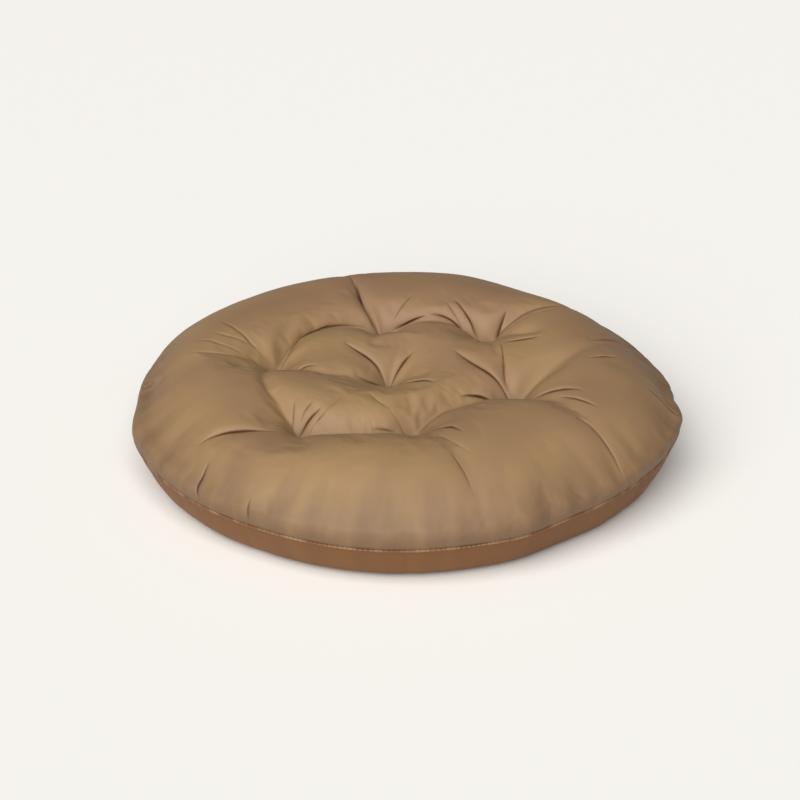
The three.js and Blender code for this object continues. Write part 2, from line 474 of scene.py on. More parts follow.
def crease_rows():
    """The creases, with those at the bottom of folds."""
    slits = [
        (PLACES[start], PLACES[end], bow, depth, SLIT_WIDTH)
        for start, end, bow, *_, depth in FOLDS
        if depth
    ]
    return slits + CREASES


def crease_places(row):
    """Places along the strong middle part of a crease."""
    (x0, y0), (x1, y1), bow = row[:3]
    share = np.linspace(*STRONG_PART, STRONG_PLACES)
    out = bowed(bow, share) / math.hypot(x1 - x0, y1 - y0)
    return np.stack([mix(x0, x1, share) - out * (y1 - y0), mix(y0, y1, share) + out * (x1 - x0)], 1)


def crease_sets(rows):
    """The set that each crease is in, so that those of one set lie apart."""
    places = [crease_places(row) for row in rows]
    sets = []
    for index, own in enumerate(places):
        gaps = np.full(len(LINE_SETS), np.inf)
        for other, number in zip(places[:index], sets):
            gap = np.linalg.norm(own[:, None] - other, axis=2).min()
            gaps[number] = min(gaps[number], gap)
        apart = np.flatnonzero(gaps > LINES_APART)
        sets.append(int(apart[0] if len(apart) else np.argmax(gaps)))
    return sets


def creases_at(x, y):
    """(drop, lines) of the creases at places of the flat panel. lines holds, for each set of
    creases, the distance to the left of the nearest one in its own widths, and how deep it is,
    from 0 to 1."""
    rows = crease_rows()
    drop = np.zeros_like(x)
    nearest = np.full((len(LINE_SETS), len(x)), np.inf)
    lines = np.zeros((len(LINE_SETS), 2, len(x)))
    for number, (start, end, bow, depth, width) in zip(crease_sets(rows), rows):
        share, side, past, _ = beside_line(start, end, bow, x, y)
        off = np.hypot(side, past)
        strength = 1 - np.abs(2 * share - 1) ** CREASE_TAPER
        wide = width * mix(CREASE_END, 1, strength)
        soft = np.hypot(off, CREASE_TIP) - CREASE_TIP
        groove = np.exp(-((soft / (CREASE_SPREAD * wide)) ** CREASE_FALL))
        lips = CREASE_LIP * np.exp(-(((off - LIP_PLACE * wide) / (LIP_WIDTH * wide)) ** 2))
        drop = drop + CREASE_CUT * depth * strength * (groove - lips)
        closer = off < nearest[number]
        near = np.exp(-((off / LINE_REACH) ** LINE_FALL))
        deep = np.clip(depth / FULL_DARK, 0, 1) * strength * near
        nearest[number] = np.where(closer, off, nearest[number])
        lines[number] = np.where(closer, (side / wide, deep), lines[number])
    return drop, lines


def drawn_in(panel):
    """Flat places of a mesh, drawn closer together beside the creases."""
    x, y = panel.T.copy()
    free = np.ones(len(x))
    for start, end, bow, *_ in crease_rows():
        share, side, past, _ = beside_line(start, end, bow, x, y)
        near = 1 - np.minimum(1, np.hypot(side, past) / DRAW_REACH)
        near = free * (1 - (1 - near) ** DRAW_FALL) * (1 - np.abs(2 * share - 1) ** DRAW_TAPER)
        free = free - near
        dx, dy = end[0] - start[0], end[1] - start[1]
        length = math.hypot(dx, dy)
        x = x + near * side * dy / length
        y = y - near * side * dx / length
    return np.stack([x, y], 1)


def gather_at(angle, above_seam):
    """How far the gathers at the seam lift or lower the cloth."""
    wave = sum(share * np.cos(rhythm(angle, *run)) for share, *run in GATHERS)
    change, times_round = GATHER_CHANGE
    uneven = outline_at(angle, "gather") * (1 - change + change * np.sin(times_round * angle))
    fade = np.exp(-above_seam / GATHER_REACH) * np.minimum(1, above_seam / GATHER_START)
    return GATHER_DEPTH * wave * uneven * fade


def top_form(line, x, y):
    """Points of the tufted top panel, in millimetres, for places on the flat panel."""
    flat = np.hypot(x, y)
    angle = np.arctan2(y, x)
    r, z, tr, tz = line.at(flat)
    above = line.length - flat
    seam_share = 1 - smooth_step(0, SEAM_REACH, above)
    rim_share = smooth_step(RIM_FROM, RIM_TO, flat) * (1 - seam_share)
    drop = folds_drop(x, y) * smooth_step(0, FOLD_FADE, above)
    out = gather_at(angle, above) - drop
    swell = outline_at(angle, "rim") * rim_share + outline_at(angle, "seam") * seam_share
    r = r - out * tz + swell
    return polar(angle, r, z + out * tr + outline_at(angle, "lift") * seam_share)


def pleats_at(angle):
    """How far the base panel's pleats and faint waves draw it in at a bearing."""
    drawn = BAND_WAVE * np.sin(rhythm(angle, *BAND_RHYTHM))
    for bearing, depth, width in PLEATS:
        away = (np.degrees(angle) - bearing + 180) % 360 - 180
        drawn = drawn + depth * np.exp(-np.abs(away / width) ** PLEAT_FALL)
    return drawn


def base_form(line, along, angle, inset=0.0, lift=0.0):
    """Points on the base panel's section, moved inwards by inset and up by lift."""
    r, z, tr, tz = line.at(along)
    z = z * (1 + outline_at(angle, "lift") / BASE_SECTION[0][2])
    ended = smooth_step(*PLEAT_ENDS, along / line.length)
    reach = smooth_step(*PLEAT_BEGINS, along) * (1 - ended)
    r = r + inset * tz + outline_at(angle, "seam") - pleats_at(angle) * reach
    return polar(angle, r, z - inset * tr + lift)


def from_tufts(places):
    """The distances of these places from each tuft."""
    return [np.hypot(*(places - tuft).T) for tuft in TUFTS.values()]


def dimples_at(points):
    """How far the tufting threads pull up the flat underside."""
    away = from_tufts(points[:, :2])
    return sum(DIMPLE * np.exp(-((far / DIMPLE_WIDTH) ** DIMPLE_FALL)) for far in away)


def base_layer(line, flat, angle, inset=0.0):
    """One face of the base panel for flat distances from its middle."""
    along = np.minimum(line.length, FLOOR_RADIUS + line.length - flat)
    out = 0.0
    if inset == 0:
        scallop = 1 + BEAD_SCALLOP * np.cos(STITCHES * angle)
        out = BEAD * scallop * np.exp(-(((along - BEAD_BELOW) / BEAD_WIDTH) ** 2))
    points = base_form(line, along, angle, inset - out)
    points[:, :2] *= np.minimum(1, flat / FLOOR_RADIUS)[:, None]
    points[:, 2] += dimples_at(points) * (flat < FLOOR_RADIUS)
    return points


# Cloth pressure


def added(name, data):
    """A new object of the scene."""
    made = bpy.data.objects.new(name, data)
    bpy.context.scene.collection.objects.link(made)
    return made


def weigh(shape, name, values):
    """A vertex group with these weights, rounded to even steps."""
    group = shape.vertex_groups.new(name=name)
    levels = np.round(values * WEIGHT_STEPS).astype(int)
    for level in range(1, WEIGHT_STEPS + 1):
        group.add(np.flatnonzero(levels == level).tolist(), level / WEIGHT_STEPS, "REPLACE")


def pressed(points, faces, held, taut):
    """How far the filling's pressure moves a panel's points. held ones stay, and taut is 0
    where the cloth is cut loose."""
    mesh = bpy.data.meshes.new("pressed")
    mesh.from_pydata((points * MM).tolist(), [], faces.tolist())
    shape = added("pressed", mesh)
    weigh(shape, "held", held)
    weigh(shape, "taut", taut)
    modifier = shape.modifiers.new("Cloth", "CLOTH")
    cloth = modifier.settings
    cloth.quality = 5
    cloth.mass = 0.1
    cloth.tension_stiffness = 15
    cloth.compression_stiffness = 15
    cloth.shear_stiffness = 7.5
    cloth.bending_stiffness = 0.1
    cloth.use_pressure = True
    cloth.uniform_pressure_force = PRESSURE
    cloth.vertex_group_mass = "held"
    cloth.vertex_group_shrink = "taut"
    cloth.shrink_min = -SLACK
    cloth.shrink_max = 0.0
    cloth.effector_weights.gravity = 0
    modifier.point_cache.frame_start = 1
    modifier.point_cache.frame_end = PRESS_FRAMES
    for step in range(1, PRESS_FRAMES + 1):
        bpy.context.scene.frame_set(step)
    drawn = shape.evaluated_get(bpy.context.evaluated_depsgraph_get())
    after = np.zeros(3 * len(points))
    drawn.data.vertices.foreach_get("co", after)
    bpy.data.objects.remove(shape)
    bpy.context.scene.frame_set(1)
    return after.reshape(-1, 3) / MM - points


# Meshes


def disc_steps(rings):
    """Each point's ring number and step round it, for a disc whose ring i holds 6 i points."""
    counts = 6 * np.arange(1, rings + 1)
    ring = np.concatenate([[0], np.repeat(counts // 6, counts)])
    return ring, np.concatenate([[0], *[np.arange(count) for count in counts]])


def disc_layout(rings):
    """Ring number and bearing of each of that disc's points."""
    ring, step = disc_steps(rings)
    return ring, TURN * step / np.maximum(1, 6 * ring)


def lattice_index(ring, step):
    """The number of a disc's point at a ring and a step round it."""
    first = 1 + 3 * ring * (ring - 1)
    return np.where(ring == 0, 0, first + step % np.maximum(1, 6 * ring))


def disc_faces(rings):
    """Triangles of that disc, turned to face up."""
    faces = []
    for ring in range(1, rings + 1):
        side, k = (grid.ravel() for grid in np.mgrid[0:6, 0:ring])
        a, b = (lattice_index(ring, side * ring + k + ahead) for ahead in (0, 1))
        c, d = (lattice_index(ring - 1, side * (ring - 1) + k + ahead) for ahead in (0, 1))
        faces.append(np.stack([a, b, c], 1))
        faces.append(np.stack([b, d, c], 1)[k < ring - 1])
    return np.concatenate(faces)


def band_faces(upper, lower, count):
    """Triangles between two closed rows of count points, the first above or outside."""
    k = np.arange(count)
    after = (k + 1) % count
    down = np.stack([upper + k, lower + k, lower + after], 1)
    return np.vstack([down, np.stack([upper + k, lower + after, upper + after], 1)])


def narrowing_faces(upper, lower, count, share):
    """Triangles from a closed row of count * share points to one of count points below it."""
    faces = []
    for k in range(count):
        after = (k + 1) % count
        start = k * share
        turn = share // 2
        for step in range(share):
            corner = lower + (k if step < turn else after)
            a, b = start + step, (start + step + 1) % (count * share)
            faces.append((upper + a, corner, upper + b))
        faces.append((upper + start + turn, lower + k, lower + after))
    return np.array(faces)


def finer(values, rings, share):
    """Values at a disc's points, read off for the points of a disc with share times the rings."""
    ring, step = disc_steps(rings * share)
    side, k = np.divmod(step, np.maximum(1, ring))
    i, j = ring // share, k // share
    di, dj = (ring % share / share)[:, None], (k % share / share)[:, None]
    far = np.minimum(i + 1, rings)
    here, beside, below, corner = (
        values[lattice_index(row, side * row + j + ahead)] for row in (i, far) for ahead in (0, 1)
    )
    return np.where(
        dj <= di,
        here * (1 - di) + below * (di - dj) + corner * dj,
        here * (1 - dj) + beside * (dj - di) + corner * di,
    )


def summed_at(places, rows, count):
    """Sums of the rows that belong to each of count places."""
    return np.stack([np.bincount(places, column, count) for column in rows.T], 1)


def normals_of(points, faces):
    """Unit normals at a mesh's points."""
    a, b, c = (points[faces[:, k]] for k in range(3))
    across = np.cross(b - a, c - a)
    return unit(sum(summed_at(faces[:, k], across, len(points)) for k in range(3)))


def edges_of(faces):
    """The point numbers of each edge of these triangles, once."""
    pairs = np.sort(np.concatenate([faces[:, [0, 1]], faces[:, [1, 2]], faces[:, [2, 0]]]), 1)
    return np.unique(pairs, axis=0)


def smoothed(values, edges, rounds):
    """Values at a mesh's points, evened out with their neighbours'."""
    count = len(values)
    start, end = edges.T
    near = np.maximum(1, np.bincount(edges.ravel(), minlength=count))[:, None]
    for _ in range(rounds):
        total = summed_at(start, values[end], count) + summed_at(end, values[start], count)
        values = (values + total / near) / 2
    return values


def seam_map(panel_mm, corner, reach):
    """Each face corner's place along the seam, in stitches, and distance from it, in metres."""
    angle = np.arctan2(*panel_mm[corner].T[::-1]).reshape(-1, 3)
    turned = angle.max(1) - angle.min(1) > math.pi
    angle[turned] = np.where(angle[turned] < 0, angle[turned] + TURN, angle[turned])
    away = (reach - np.hypot(*panel_mm[corner].T)) * MM
    return np.stack([angle.ravel() / TURN * STITCHES, away], 1)


def make_piece(name, points_mm, faces, material, panel_mm=None, reach=None, shades=None, flat=()):
    """A smooth mesh object in metres. panel_mm, the cloth's flat places, becomes its UV map, and
    its way round the seam, at reach from the middle, a second one. shades become attributes, and
    the faces with their numbers in flat aren't smoothed into their neighbours."""
    mesh = bpy.data.meshes.new(name)
    mesh.from_pydata((points_mm * MM).tolist(), [], faces.tolist())
    mesh.update()
    smooth = np.ones(len(mesh.polygons), bool)
    smooth[list(flat)] = False
    mesh.polygons.foreach_set("use_smooth", smooth)
    if panel_mm is not None:
        corner = np.zeros(len(mesh.loops), np.int32)
        mesh.loops.foreach_get("vertex_index", corner)
        maps = {"Panel": panel_mm[corner] * MM, "Seam": seam_map(panel_mm, corner, reach)}
        for title, places in maps.items():
            layer = mesh.uv_layers.new(name=title)
            layer.data.foreach_set("uv", places.astype(np.float32).ravel())
    for title, values in (shades or {}).items():
        shade = mesh.attributes.new(title, "FLOAT", "POINT")
        shade.data.foreach_set("value", values.astype(np.float32))
    mesh.materials.append(material)
    return added(name, mesh)


# Materials

# Screen colours of the painted highlight on the seam's rolled edge, of the painted shade in
# creases and needle holes, and of the thread
SEAM_HIGHLIGHT_COLOUR = (158, 129, 99)
PAINTED_SHADE_COLOUR = (68, 38, 8)
THREAD_COLOUR = (146, 114, 82)

# The cloth's two hues: the noise between them, its lean to the darker rosy one towards the right
# and the back, which is painted shade where the light falls off, and the values at which each hue
# is pure
HUE_NOISE = {"Scale": 11.0, "Detail": 2.5}
HUE_SHADE_TO_RIGHT = 0.25
HUE_SHADE_TO_BACK = 0.5
HUE_ENDS = (0.32, 0.7)

# Streaks above the seam: their noise, its stretch along the seam and away from it, how it
# shifts the edge of the painted shade near the seam, and the metres over which that painted shade
# and their relief fade out
STREAK_NOISE = {"Scale": 1.0, "Detail": 1.7}
STREAK_ALONG = 0.2
STREAK_AWAY = 9.0
STREAK_ENDS = (0.3, 0.7)
STREAK_SHIFT = (-0.016, 0.02)
STREAK_SHADE_FADE = (-0.01, 0.08)
STREAK_RELIEF_FADE = (0.0, 0.07)

# The painted highlight on the seam's rolled edge and the painted shade in the needle holes: the
# values between which they come in, how strong they are, and the metres over which they fade out
SEAM_HIGHLIGHT_ENDS = (0.42, 0.6)
SEAM_HIGHLIGHT_STRENGTH = 0.6
SEAM_HIGHLIGHT_FADE = (0.0005, 0.0018)
HOLE_ENDS = (0.38, 0.46)
HOLE_DARK = 0.45
HOLE_FADE = (0.0006, 0.0012)

# Creases, in their own widths, where they are painted dark as shade and cut in, and the painted
# shade at the bottom of deep folds
CREASE_DARK_ENDS = (0.15, 1.1)
CREASE_CUT_ENDS = (0.0, 2.0)
HOLLOW_ENDS = (0.4, 1.0)
HOLLOW_SHADE = 0.9

# The weave, and the reliefs as (strength, height in metres)
WEAVE = {"Scale": 900.0, "Distortion": 0.4}
WEAVE_RELIEF = (0.06, 0.0002)
STREAK_RELIEF = (0.7, 0.004)
CREASE_RELIEF = (1.0, 0.0005)


class Shader:
    """A material's node tree, built one node at a time."""

    def __init__(self, name):
        self.material = bpy.data.materials.new(name)
        self.material.use_nodes = True
        self.tree = self.material.node_tree
        self.surface = self.tree.nodes["Principled BSDF"]

    def node(self, kind, inputs=None, **settings):
        made = self.tree.nodes.new("ShaderNode" + kind)
        for key, value in settings.items():
            setattr(made, key, value)
        for key, value in (inputs or {}).items():
            self.put(made.inputs[key], value)
        return made

    def math(self, operation, *values):
        return self.node("Math", dict(enumerate(values)), operation=operation).outputs[0]

    def times(self, value, factor):
        return self.math("MULTIPLY", value, factor)

    def put(self, socket, value):
        if isinstance(value, bpy.types.NodeSocket):
            self.tree.links.new(value, socket)
        else:
            socket.default_value = value

    def set(self, **inputs):
        for key, value in inputs.items():
            self.put(self.surface.inputs[key.replace("_", " ")], value)


def linear(red, green, blue):
    """A shader colour from 0 to 255 screen values."""
    values = [channel / 255 for channel in (red, green, blue)]
    return (*[v / 12.92 if v <= 0.04045 else ((v + 0.055) / 1.055) ** 2.4 for v in values], 1.0)


def cloth_colour(shader, golden, rosy):
    """A brown that drifts between two hues in soft patches. The darker rosy one leans to the back
    and the right as painted shade.
    """
    place = shader.node("TexCoord").outputs["Object"]
    drift = shader.node("TexNoise", {"Vector": place, **HUE_NOISE})
    parts = shader.node("SeparateXYZ", {0: place})
    back = shader.times(parts.outputs[1], HUE_SHADE_TO_BACK)
    right = shader.times(parts.outputs[0], HUE_SHADE_TO_RIGHT)
    shift = shader.math("ADD", back, right)
    hue = shader.node("ValToRGB", {"Fac": shader.math("ADD", drift.outputs["Fac"], shift)})
    for element, value, colour in zip(hue.color_ramp.elements, HUE_ENDS, (golden, rosy)):
        element.position = value
        element.color = colour
    return hue.outputs["Color"]


def mapped(shader, value, start, end, low=1.0, high=0.0, kind="SMOOTHSTEP"):
    """low where the value is at start, high where it is at end, and smooth between them."""
    ends = {"From Min": start, "From Max": end, "To Min": low, "To Max": high}
    ramp = shader.node("MapRange", {"Value": value, **ends}, interpolation_type=kind)
    return ramp.outputs["Result"]


def blended(shader, share, colour, other, blend="MIX"):
    """The colour turned into another one, or into their blend, by a share from 0 to 1."""
    inputs = {6: colour, 7: other, "Factor": share}
    return shader.node("Mix", inputs, data_type="RGBA", blend_type=blend).outputs[2]


def relief(shader, height, size, **under):
    """The normal of a surface raised by a height, on top of the one given as Normal."""
    strength, distance = size
    inputs = {"Height": height, "Strength": strength, "Distance": distance, **under}
    return shader.node("Bump", inputs).outputs["Normal"]


def seam_places_of(shader):
    """(stitches along the seam, metres from it) as sockets."""
    seam = shader.node("UVMap", uv_map="Seam")
    parts = shader.node("SeparateXYZ", {0: seam.outputs["UV"]})
    return parts.outputs[0], parts.outputs[1]


def ease_marks(shader, along, away):
    """Uneven streaks that run up from the seam where the cloth is eased in, from 0 to 1. They raise
    the cloth's relief, rag the edge of the painted shade near the seam, and set where the seam's
    painted highlight comes in.
    """
    around = shader.times(along, STREAK_ALONG)
    up = shader.times(away, STREAK_AWAY)
    place = shader.node("CombineXYZ", {0: around, 1: up}).outputs[0]
    return shader.node("TexNoise", {"Vector": place, **STREAK_NOISE}).outputs["Fac"]


def weave_height(shader):
    """The fine weave, in threads a third of a millimetre apart."""
    panel = shader.node("UVMap", uv_map="Panel").outputs["UV"]
    inputs = {"Vector": panel, **WEAVE}
    ways = [shader.node("TexWave", inputs, bands_direction=way) for way in "XY"]
    return shader.math("ADD", *[way.outputs["Fac"] for way in ways])


def attribute(shader, title):
    return shader.node("Attribute", attribute_name=title).outputs["Fac"]


def crease_line(shader, title):
    """One set of crease lines: (painted shade from 0 to 1, height from -1 to 0) as sockets."""
    away = shader.math("ABSOLUTE", attribute(shader, title + " across"))
    deep = attribute(shader, title + " deep")
    dark = mapped(shader, away, *CREASE_DARK_ENDS)
    cut = mapped(shader, away, *CREASE_CUT_ENDS, -1.0, 0.0, "LINEAR")
    return shader.times(dark, deep), shader.times(cut, deep)


def crease_lines(shader):
    """All sets of crease lines together."""
    dark, cut = crease_line(shader, LINE_SETS[0])
    for title in LINE_SETS[1:]:
        next_dark, next_cut = crease_line(shader, title)
        dark = shader.math("MAXIMUM", dark, next_dark)
        cut = shader.math("MINIMUM", cut, next_cut)
    return dark, cut


def seam_edge(shader, along, away, streak):
    """(light, dark) at the seam: how far its rolled edge is painted paler as a highlight, and its
    needle holes painted dark as shade.
    """
    painted_highlight = mapped(shader, streak, *SEAM_HIGHLIGHT_ENDS, 0.0, SEAM_HIGHLIGHT_STRENGTH)
    from_stitch = shader.math("PINGPONG", along, 0.5)
    hole = mapped(shader, from_stitch, *HOLE_ENDS, 0.0, HOLE_DARK)
    light = shader.times(mapped(shader, away, *SEAM_HIGHLIGHT_FADE), painted_highlight)
    return light, shader.times(hole, mapped(shader, away, *HOLE_FADE))


def cloth_material(name, golden, rosy, shade_near_seam, roughness, shine):
    """Smooth woven microfibre with a soft satin shine. Its colour near the seam is painted shade
    that the cloth darkens to towards the seam; creases, fold bottoms and needle holes are painted
    darker as shade, and the seam's rolled edge paler as a painted highlight.
    """
    shader = Shader(name)
    colour = cloth_colour(shader, golden, rosy)
    along, away = seam_places_of(shader)
    crease, cut = crease_lines(shader)
    streak = ease_marks(shader, along, away)
    # Painted shade: the cloth darkens towards the seam, to an edge that the streaks make ragged
    shift = mapped(shader, streak, *STREAK_ENDS, *STREAK_SHIFT, "LINEAR")
    ragged = shader.math("ADD", away, shift)
    colour = blended(shader, mapped(shader, ragged, *STREAK_SHADE_FADE), colour, shade_near_seam)
    # Painted highlight on the seam's rolled edge, and painted shade in the needle holes
    light, hole = seam_edge(shader, along, away, streak)
    colour = blended(shader, light, colour, linear(*SEAM_HIGHLIGHT_COLOUR))
    # Painted shade at the bottom of deep folds
    hollow = attribute(shader, "Hollow")
    shade = mapped(shader, hollow, *HOLLOW_ENDS, 1.0, HOLLOW_SHADE)
    colour = blended(shader, 1.0, colour, shade, "MULTIPLY")
    # Painted shade in creases and needle holes: a blend towards a deep brown
    dark = shader.math("MAXIMUM", crease, hole)
    colour = blended(shader, dark, colour, linear(*PAINTED_SHADE_COLOUR))
    dull = shader.node("Mix", {"Factor": crease, 2: roughness, 3: 1.0})
    shader.set(Base_Color=colour, Roughness=dull.outputs[0])
    shader.set(Specular_IOR_Level=shine, Sheen_Weight=0.0)
    raised = shader.times(streak, mapped(shader, away, *STREAK_RELIEF_FADE))
    normal = relief(shader, weave_height(shader), WEAVE_RELIEF)
    normal = relief(shader, raised, STREAK_RELIEF, Normal=normal)
    normal = relief(shader, cut, CREASE_RELIEF, Normal=normal)
    shader.set(Normal=normal)
    return shader.material


def thread_material(name):
    shader = Shader(name)
    shader.set(Base_Color=linear(*THREAD_COLOUR), Roughness=0.7, Specular_IOR_Level=0.3)
    return shader.material


def floor_material(colour):
    shader = Shader("Pale floor")
    shader.set(Base_Color=colour, Roughness=0.9, Specular_IOR_Level=0.1)
    return shader.material


# Settings that a user would change


def angle_setting(name, description, degrees):
    return bpy.props.FloatProperty(
        name=name, description=description, default=math.radians(degrees), subtype="ANGLE"
    )


class CoverSettings(bpy.types.PropertyGroup):
    roughness: bpy.props.FloatProperty(
        name="Roughness", description="How dull the cloth is", default=0.6, min=0, max=1
    )


class StageSettings(bpy.types.PropertyGroup):
    key: bpy.props.FloatProperty(
        name="Key light", description="Strength of the main soft light", default=4.3, min=0
    )
    key_size: angle_setting("Key size", "How wide the main light looks from the floor", 70)
    key_elevation: angle_setting("Key elevation", "Height of the main light above the horizon", 45)
    key_azimuth: angle_setting("Key azimuth", "Turn of the main light to the right", -20)
    fill: bpy.props.FloatProperty(
        name="Fill", description="Strength of the even light all round", default=0.13, min=0
    )
    floor_colour: bpy.props.FloatVectorProperty(
        name="Floor",
        description="Colour of the plain floor",
        default=(0.84, 0.82, 0.78),
        subtype="COLOR",
    )
    floor_size: bpy.props.FloatProperty(
        name="Floor size", description="Width of the plain floor", default=24.0, unit="LENGTH"
    )


# Pieces


def panel_places(line, rings):
    """Flat places of a disc mesh on the top panel, closer together in the middle."""
    ring, angle = disc_layout(rings)
    share = ring / rings
    widening = (1 - MIDDLE_SPACING) * share**SPACING_RISE
    return polar(angle, line.length * (MIDDLE_SPACING * share + widening))


def pressure_moves(line):
    """How far the filling's pressure moves each point of the fine top panel."""
    rings = TOP_RINGS // PUFF_SHARE
    panel = panel_places(line, rings)
    above = line.length - np.hypot(*panel.T)
    near = np.min(from_tufts(panel), axis=0)
    held = 1 - even_step(*TUFT_HELD, near)
    held = np.maximum(held, 1 - even_step(*SEAM_HELD, above))
    held = np.maximum(held, FOLD_HELD * smooth_step(*FOLD_HELD_DROPS, folds_drop(*panel.T)))
    loose = mix(SLACK_REST, 1, np.exp(-((near / SLACK_REACH) ** 2)))
    moves = pressed(top_form(line, *panel.T), disc_faces(rings), held, 1 - loose)
    size = np.linalg.norm(moves, axis=1)[:, None]
    moves = moves * np.minimum(1, MOVE_LIMIT / np.maximum(size, 1e-6))
    return finer(moves, rings, PUFF_SHARE)


def top_cover_points():
    """(points, flat places, faces, shades) of the top panel, in millimetres."""
    line = SectionLine(TOP_SECTION)
    panel = drawn_in(panel_places(line, TOP_RINGS))
    faces = disc_faces(TOP_RINGS)
    points = top_form(line, *panel.T)
    points = points + smoothed(pressure_moves(line), edges_of(faces), MOVE_ROUNDS)
    drop, lines = creases_at(*panel.T)
    ways = smoothed(normals_of(points, faces), edges_of(faces), NORMAL_ROUNDS)
    fade = smooth_step(0, CREASE_FADE, line.length - np.hypot(*panel.T))
    shades = {"Hollow": folds_drop(*panel.T) / PULL}
    for title, (across, deep) in zip(LINE_SETS, lines):
        shades[title + " across"] = across
        shades[title + " deep"] = deep
    return points - ways * (drop * fade)[:, None], panel, faces, shades


def closed_below(points, panel, faces, shades):
    """The top panel's mesh, closed round the filling inside the base panel, and the numbers of
    the faces of its hem."""
    count = 6 * TOP_RINGS
    bearing = TURN * np.arange(count) / count
    base = SectionLine(BASE_SECTION)
    inset = CLOTH + PANEL_GAP
    points, panel, faces = [points], [panel], [faces]
    above = len(points[0]) - count
    for share in (0.0, *UNDER_SHARES):
        lift = PANEL_GAP if share == 0 else 0.0
        points.append(base_form(base, np.full(count, share * base.length), bearing, inset, lift))
        panel.append(panel[0][-count:])
        faces.append(band_faces(above, above + count, count))
        above += count
    rings = TOP_RINGS // UNDER_SHARE
    ring, angle = disc_layout(rings)
    under = base_form(base, np.full(len(ring), base.length), angle, inset)
    under[:, :2] *= (ring / rings)[:, None] * UNDER_EDGE
    under[:, 2] += dimples_at(under)
    points.append(under)
    panel.append(under[:, :2])
    start = above + count
    hem = len(faces[0]) + np.arange(len(faces[1]))
    faces.append(narrowing_faces(above, start + len(ring) - 6 * rings, 6 * rings, UNDER_SHARE))
    faces.append(disc_faces(rings)[:, ::-1] + start)
    points = np.vstack(points)
    below = np.zeros(len(points) - len(shades["Hollow"]))
    shades = {title: np.concatenate([values, below]) for title, values in shades.items()}
    return points, np.vstack(panel), np.vstack(faces), shades, hem


class CUSHION_OT_top_cover(bpy.types.Operator):
    """Make the tufted top cover with its filling"""

    bl_idname = "cushion.top_cover"
    bl_label = "Top cover"

    def execute(self, context):
        settings = context.scene.cushion_cover
        points, panel, faces, shades, hem = closed_below(*top_cover_points())
        material = cloth_material(
            "Brown microfibre",
            golden=linear(148, 118, 80),
            rosy=linear(137, 106, 77),
            # painted shade near the seam
            shade_near_seam=linear(113, 86, 61),
            roughness=settings.roughness,
            shine=0.42,
        )
        reach = SectionLine(TOP_SECTION).length
        cover = make_piece("top_cover", points, faces, material, panel, reach, shades, hem)
        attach(cover, "root")
        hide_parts("filled_top")
        return {"FINISHED"}


def base_cover_mesh():
    """(points, flat places, faces) of the base panel, a closed thin sheet."""
    line = SectionLine(BASE_SECTION)
    ring, angle = disc_layout(BASE_RINGS)
    whole_rings = BASE_RINGS - EDGE_RINGS
    whole = FLOOR_RADIUS + line.length
    flat = np.interp(ring, [0, whole_rings, BASE_RINGS], [0, whole - EDGE_REACH, whole])
    outer = base_layer(line, flat, angle)
    inner = base_layer(line, flat, angle, CLOTH)
    faces = disc_faces(BASE_RINGS)
    count = 6 * BASE_RINGS
    start = len(outer)
    places = polar(angle, flat)
    edge = band_faces(2 * start - count, start - count, count)
    return (
        np.vstack([outer, inner]),
        np.vstack([places, places]),
        np.vstack([faces[:, ::-1], faces + start, edge]),
    )


class CUSHION_OT_base_cover(bpy.types.Operator):
    """Make the base cover that wraps up the side to the seam"""

    bl_idname = "cushion.base_cover"
    bl_label = "Base cover"

    def execute(self, context):
        settings = context.scene.cushion_cover
        points, panel, faces = base_cover_mesh()
        # The band's colours are painted shade: darker than the top cover's, as the band faces down,
        # and darker still near the seam
        material = cloth_material(
            "Microfibre painted darker as shade",
            golden=linear(131, 92, 54),
            rosy=linear(123, 82, 48),
            shade_near_seam=linear(118, 81, 51),
            roughness=settings.roughness,
            shine=0.15,
        )
        reach = FLOOR_RADIUS + SectionLine(BASE_SECTION).length
        cover = make_piece("base_cover", points, faces, material, panel, reach)
        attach(cover, "root")
        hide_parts("base_panel")
        return {"FINISHED"}


def thread_bars(centres, ways, outs, length, radius):
    """(points, faces) of short rounded bars of thread, each lying along its way."""
    share = np.linspace(-1, 1, THREAD_RINGS + 2)[1:-1]
    turn = TURN * np.arange(THREAD_SIDES) / THREAD_SIDES
    along = np.concatenate([[-1], np.repeat(share, THREAD_SIDES), [1]]) * length / 2
    thick = np.repeat(np.sqrt(1 - share**THREAD_TAPER), THREAD_SIDES)
    thick = np.concatenate([[0], thick, [0]]) * radius
    spin = np.concatenate([[0], np.tile(turn, THREAD_RINGS), [0]])
    ups = np.cross(ways, outs)
    bend = (np.abs(along) / (length / 2)) ** THREAD_BEND * radius
    points = (
        centres[:, None]
        + ways[:, None] * along[:, None]
        + outs[:, None] * (thick * np.cos(spin) - bend)[:, None]
        + ups[:, None] * (thick * np.sin(spin))[:, None]
    )
    k = np.arange(THREAD_SIDES)
    after = (k + 1) % THREAD_SIDES
    last = 1 + THREAD_SIDES * THREAD_RINGS
    faces = [np.stack([0 * k, 1 + after, 1 + k], 1)]
    for a in range(1, last - THREAD_SIDES, THREAD_SIDES):
        b = a + THREAD_SIDES
        faces.append(np.stack([a + k, a + after, b + after], 1))
        faces.append(np.stack([a + k, b + after, b + k], 1))
    end = last - THREAD_SIDES
    faces.append(np.stack([end + k, end + after, last + 0 * k], 1))
    start = (last + 1) * np.arange(len(centres))[:, None, None]
    return points.reshape(-1, 3), (np.concatenate(faces) + start).reshape(-1, 3)


def stitch_places(line, angle, out):
    """The middles of stitches on the seam's rolled edge at these bearings."""
    return base_form(line, np.full(len(angle), STITCH_BELOW), angle, -out)


